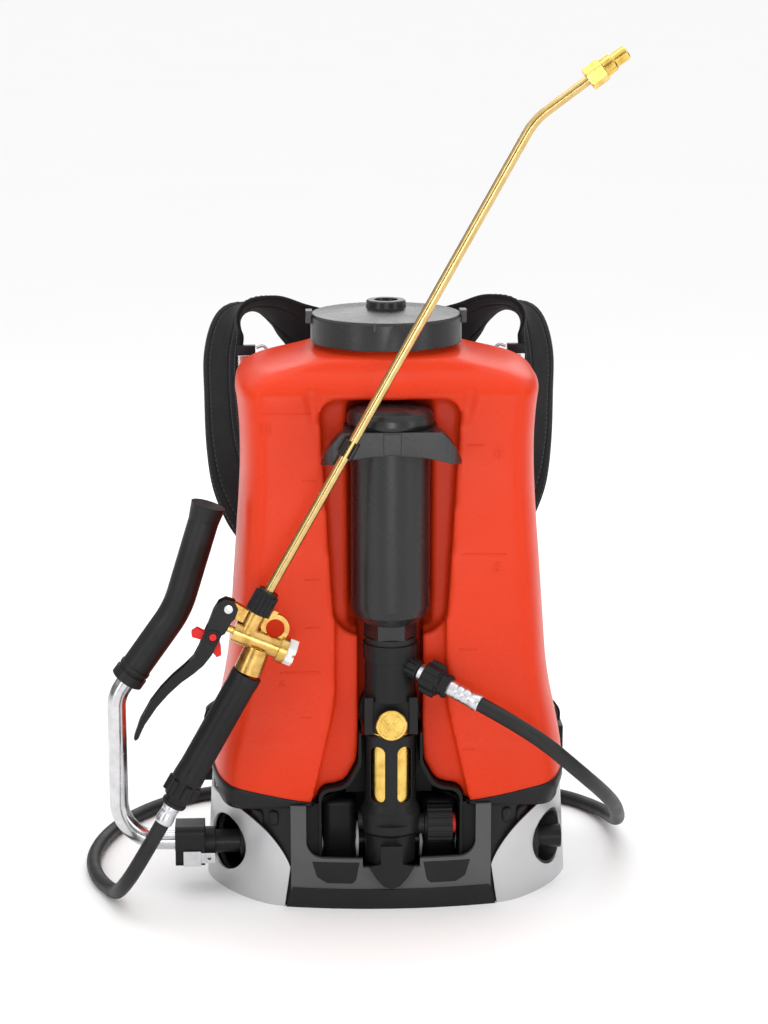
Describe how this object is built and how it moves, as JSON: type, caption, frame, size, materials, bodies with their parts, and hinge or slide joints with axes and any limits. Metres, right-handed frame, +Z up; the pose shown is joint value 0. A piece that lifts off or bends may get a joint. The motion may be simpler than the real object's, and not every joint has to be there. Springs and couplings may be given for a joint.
{
  "type": "knapsack pump sprayer",
  "caption": "Knapsack sprayer: red plastic tank on a base, outside piston pump with air vessel, side pump lever, hose, trigger gun and bent brass spray tube.",
  "frame": {"origin": "centre of the base's flat underside, where it stands on the floor", "axes": "+Z up, +X to the right as one faces the pump, +Y towards the wearer's back"},
  "size_m": [0.4784, 0.333, 0.7133],
  "materials": {
    "tank_red": "satin blow-moulded polyethylene",
    "black_plastic": "fine satin moulding",
    "grey_plastic": "fine satin moulding",
    "silver_panel": "satin silver",
    "brass": "polished",
    "steel": "bright",
    "black_steel": "black lacquer",
    "zinc": "bright plated",
    "rubber": "matt",
    "webbing": "padded woven fabric",
    "white_plastic": "satin",
    "red_plastic": "satin"
  },
  "bodies": {
    "sprayer": {"air_vessel": "black_plastic", "anchor_screws": "zinc", "base_screws": "zinc", "base_shell": "black_plastic", "bay_liner": "black_plastic", "bearing_towers": "black_plastic", "buffer_pads": "black_plastic", "filler_strainer": "black_plastic", "front_frame": "grey_plastic", "grip_filter": "black_plastic", "gun_ferrule": "zinc", "hand_grip": "black_plastic", "hose": "rubber", "inlet_bolt": "brass", "lower_webbing": "webbing", "nozzle_body": "brass", "outlet_ferrule": "zinc", "port_gland": "black_plastic", "pump_cylinder": "brass", "pump_head": "black_plastic", "pump_housing": "grey_plastic", "shaft_bushes": "white_plastic", "shoulder_strap_left": "webbing", "shoulder_strap_right": "webbing", "side_panel_left": "silver_panel", "side_panel_right": "silver_panel", "socket_ring": "black_plastic", "spray_tube": "brass", "strap_anchor": "steel", "strap_sliders": "black_plastic", "tank": "tank_red", "tube_nut": "black_plastic", "union_nuts": "black_plastic", "valve_body": "brass", "valve_cap": "white_plastic", "valve_spring": "steel", "vessel_crown": "black_plastic", "vessel_gasket": "rubber", "wand_holder": "grey_plastic"},
    "lever": {"lever_shaft": "black_steel", "crank_arm": "black_steel", "crank_pin": "brass", "lever_coupling": "black_plastic", "lever_tube": "steel", "lever_grip": "rubber"},
    "latch": {"lever_latch": "steel"},
    "piston": {"piston": "white_plastic", "piston_seal": "rubber", "piston_rod": "steel"},
    "cap_carrier": {"cap_seal": "rubber"},
    "cap": {"cap": "grey_plastic", "vent_flap": "rubber"},
    "knob": {"relief_knob": "black_plastic", "knob_badge": "red_plastic"},
    "trigger": {"trigger": "black_plastic", "trigger_pin": "steel"},
    "trigger_lock": {"trigger_lock": "red_plastic"},
    "valve_stem": {"valve_stem": "brass"},
    "nozzle_tip": {"nozzle_tip": "brass"},
    "outlet_ball": {"outlet_ball": "steel"}
  },
  "joints": [
    {"name": "pump_lever", "type": "hinge", "parent": "sprayer", "child": "lever", "pos_m": [0, -0.045, 0.041], "axis": [-1, 0, 0], "range_deg": [0, 75]},
    {"name": "piston_slide", "type": "slide", "parent": "sprayer", "child": "piston", "axis": [0, 0, 1], "range_m": [0, 0.044]},
    {"name": "lever_latch", "type": "slide", "parent": "lever", "child": "latch", "axis": [-1, 0, 0], "range_m": [0, 0.005], "stiffness_N_per_m": 300, "springref_m": -0.002},
    {"name": "cap_turn", "type": "hinge", "parent": "cap_carrier", "child": "cap", "pos_m": [0, 0, 0.48], "axis": [0, 0, 1], "range_deg": [0, 540]},
    {"name": "cap_lift", "type": "slide", "parent": "sprayer", "child": "cap_carrier", "axis": [0, 0, 1], "range_m": [0, 0.0122]},
    {"name": "relief_knob", "type": "hinge", "parent": "sprayer", "child": "knob", "pos_m": [0.03, -0.078, 0.066], "axis": [1, 0, 0], "range_deg": [0, 270]},
    {"name": "trigger_pull", "type": "hinge", "parent": "sprayer", "child": "trigger", "pos_m": [-0.13248, -0.122, 0.26858], "axis": [0, -1, 0], "range_deg": [0, 14], "stiffness_Nm_per_rad": 0.8, "springref_deg": -5.73},
    {"name": "valve_stem_slide", "type": "slide", "parent": "sprayer", "child": "valve_stem", "axis": [0.922, 0, -0.3871], "range_m": [0, 0.0046], "deforming": ["valve_spring"]},
    {"name": "trigger_lock", "type": "hinge", "parent": "trigger", "child": "trigger_lock", "pos_m": [-0.14541, -0.122, 0.24545], "axis": [0, -1, 0], "range_deg": [0, 14]},
    {"name": "nozzle_adjust", "type": "hinge", "parent": "sprayer", "child": "nozzle_tip", "pos_m": [0.16287, -0.122, 0.69603], "axis": [0.8049, 0, 0.5934], "range_deg": [0, 360]},
    {"name": "outlet_ball_lift", "type": "slide", "parent": "sprayer", "child": "outlet_ball", "axis": [0, 0, 1], "range_m": [0, 0.003]}
  ],
  "couplings": [
    {"joint": "piston_slide", "follows": "pump_lever", "m_per_rad": 0.033484},
    {"joint": "cap_lift", "follows": "cap_turn", "m_per_rad": 0.001273},
    {"joint": "valve_stem_slide", "follows": "trigger_pull", "m_per_rad": 0.018417}
  ]
}
